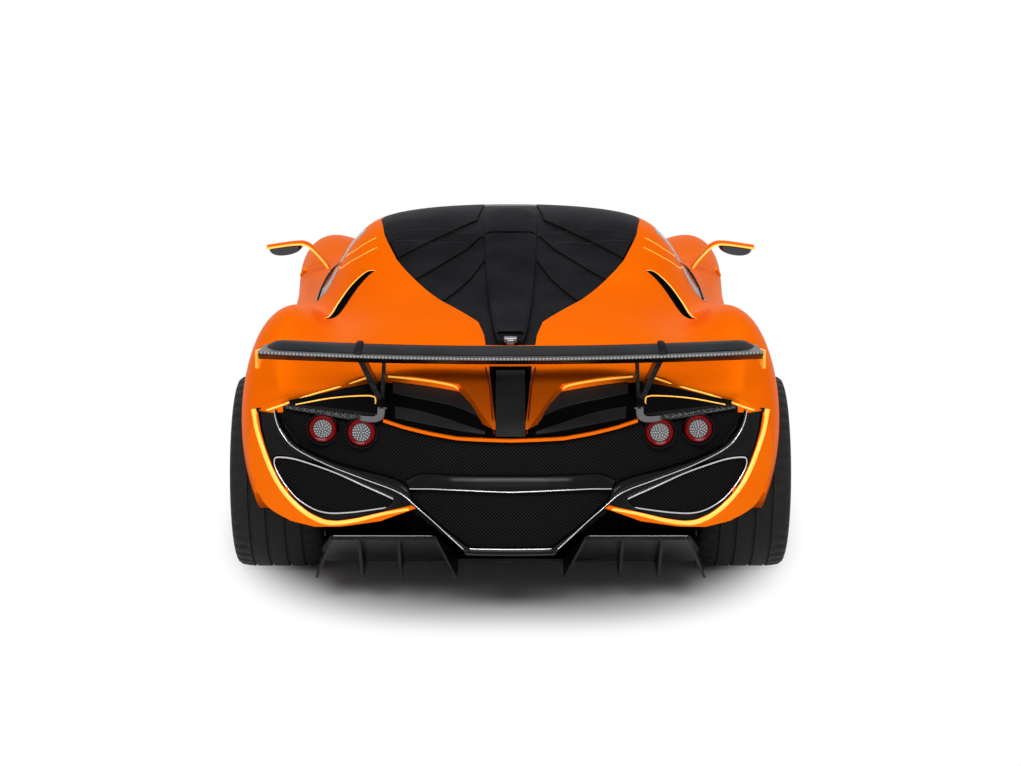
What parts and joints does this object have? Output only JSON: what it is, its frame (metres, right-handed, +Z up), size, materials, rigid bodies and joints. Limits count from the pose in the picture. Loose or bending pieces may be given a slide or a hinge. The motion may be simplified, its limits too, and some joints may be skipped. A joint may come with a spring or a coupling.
{
  "type": "supercar",
  "caption": "Low mid-engine supercar with butterfly doors, lifting bonnet and engine cover, steered front wheels, a fixed rear wing and a mesh tail.",
  "frame": {"origin": "centre of the footprint of the whole car, on the ground between the tyres", "axes": "+X forwards to the nose, +Y to the driver's left, +Z up"},
  "size_m": [4.52, 2.134, 1.1456],
  "materials": {
    "paint": "gloss",
    "black_paint": "satin",
    "carbon": "gloss weave",
    "mesh": "matt mesh",
    "glass": "tinted",
    "lamp": "gloss",
    "head_lamp": "clear cover",
    "tyre": "matt",
    "rim": "dark satin",
    "steel": "brushed",
    "engine": "cast",
    "trim": "matt",
    "seat": "stitched"
  },
  "bodies": {
    "chassis": {"cowl_panel": "trim", "dashboard": "trim", "diffuser": "carbon", "engine": "engine", "fenders": "paint", "front_bumper": "paint", "front_grilles": "mesh", "front_splitter": "carbon", "headlamps": "head_lamp", "lamp_shelves": "black_paint", "rear_arms": "carbon", "rear_bumper": "paint", "rear_fascia": "mesh", "rear_quarters": "paint", "rear_wing": "carbon", "roof_panel": "black_paint", "roof_rails": "paint", "seats": "seat", "side_skirts": "carbon", "suspension_arms": "steel", "tail_lamps": "lamp", "tail_lip": "paint", "tow_eye_socket": "steel", "tub": "carbon", "underfloor": "carbon", "vent_panel": "black_paint", "windscreen": "glass", "wing_struts": "carbon"},
    "bonnet": {"bonnet": "paint"},
    "engine_cover": {"engine_cover": "black_paint"},
    "door_left": {"door_left": "paint", "door_glass_left": "glass", "mirror_left": "carbon"},
    "door_right": {"door_right": "paint", "door_glass_right": "glass", "mirror_right": "carbon"},
    "steering_wheel": {"steering_wheel": "trim"},
    "knuckle_left": {"knuckle_front_left": "steel"},
    "knuckle_right": {"knuckle_front_right": "steel"},
    "wheel_front_left": {"tyre_front_left": "tyre", "rim_front_left": "rim"},
    "wheel_front_right": {"tyre_front_right": "tyre", "rim_front_right": "rim"},
    "wheel_rear_left": {"tyre_rear_left": "tyre", "rim_rear_left": "rim"},
    "wheel_rear_right": {"tyre_rear_right": "tyre", "rim_rear_right": "rim"}
  },
  "joints": [
    {"name": "steer_left", "type": "hinge", "parent": "chassis", "child": "knuckle_left", "pos_m": [1.36, 0.795, 0.34], "axis": [0, 0, 1], "range_deg": [-25, 25]},
    {"name": "steer_right", "type": "hinge", "parent": "chassis", "child": "knuckle_right", "pos_m": [1.36, -0.795, 0.34], "axis": [0, 0, 1], "range_deg": [-25, 25]},
    {"name": "steering_wheel_turn", "type": "hinge", "parent": "chassis", "child": "steering_wheel", "pos_m": [0.455, 0.3, 0.7], "axis": [-0.9272, 0, 0.3746], "range_deg": [-360, 360]},
    {"name": "wheel_front_left_spin", "type": "hinge", "parent": "knuckle_left", "child": "wheel_front_left", "pos_m": [1.36, 0.8575, 0.34], "axis": [0, 1, 0], "continuous": true},
    {"name": "wheel_front_right_spin", "type": "hinge", "parent": "knuckle_right", "child": "wheel_front_right", "pos_m": [1.36, -0.8575, 0.34], "axis": [0, 1, 0], "continuous": true},
    {"name": "wheel_rear_left_spin", "type": "hinge", "parent": "chassis", "child": "wheel_rear_left", "pos_m": [-1.32, 0.8475, 0.355], "axis": [0, 1, 0], "continuous": true},
    {"name": "wheel_rear_right_spin", "type": "hinge", "parent": "chassis", "child": "wheel_rear_right", "pos_m": [-1.32, -0.8475, 0.355], "axis": [0, 1, 0], "continuous": true},
    {"name": "door_left_hinge", "type": "hinge", "parent": "chassis", "child": "door_left", "pos_m": [0.61, 0.89, 0.8], "axis": [0.7331, 0.3451, -0.5861], "range_deg": [0, 55]},
    {"name": "door_right_hinge", "type": "hinge", "parent": "chassis", "child": "door_right", "pos_m": [0.61, -0.89, 0.8], "axis": [-0.7331, 0.3451, 0.5861], "range_deg": [0, 55]},
    {"name": "bonnet_hinge", "type": "hinge", "parent": "chassis", "child": "bonnet", "pos_m": [1.0775, 0, 0.82753], "axis": [0, -1, 0], "range_deg": [0, 50]},
    {"name": "engine_cover_hinge", "type": "hinge", "parent": "chassis", "child": "engine_cover", "pos_m": [-0.4725, 0, 1.10474], "axis": [0, 1, 0], "range_deg": [0, 45]}
  ],
  "couplings": [
    {"joint": "steer_right", "follows": "steer_left", "ratio": 1},
    {"joint": "steering_wheel_turn", "follows": "steer_left", "ratio": 14}
  ]
}
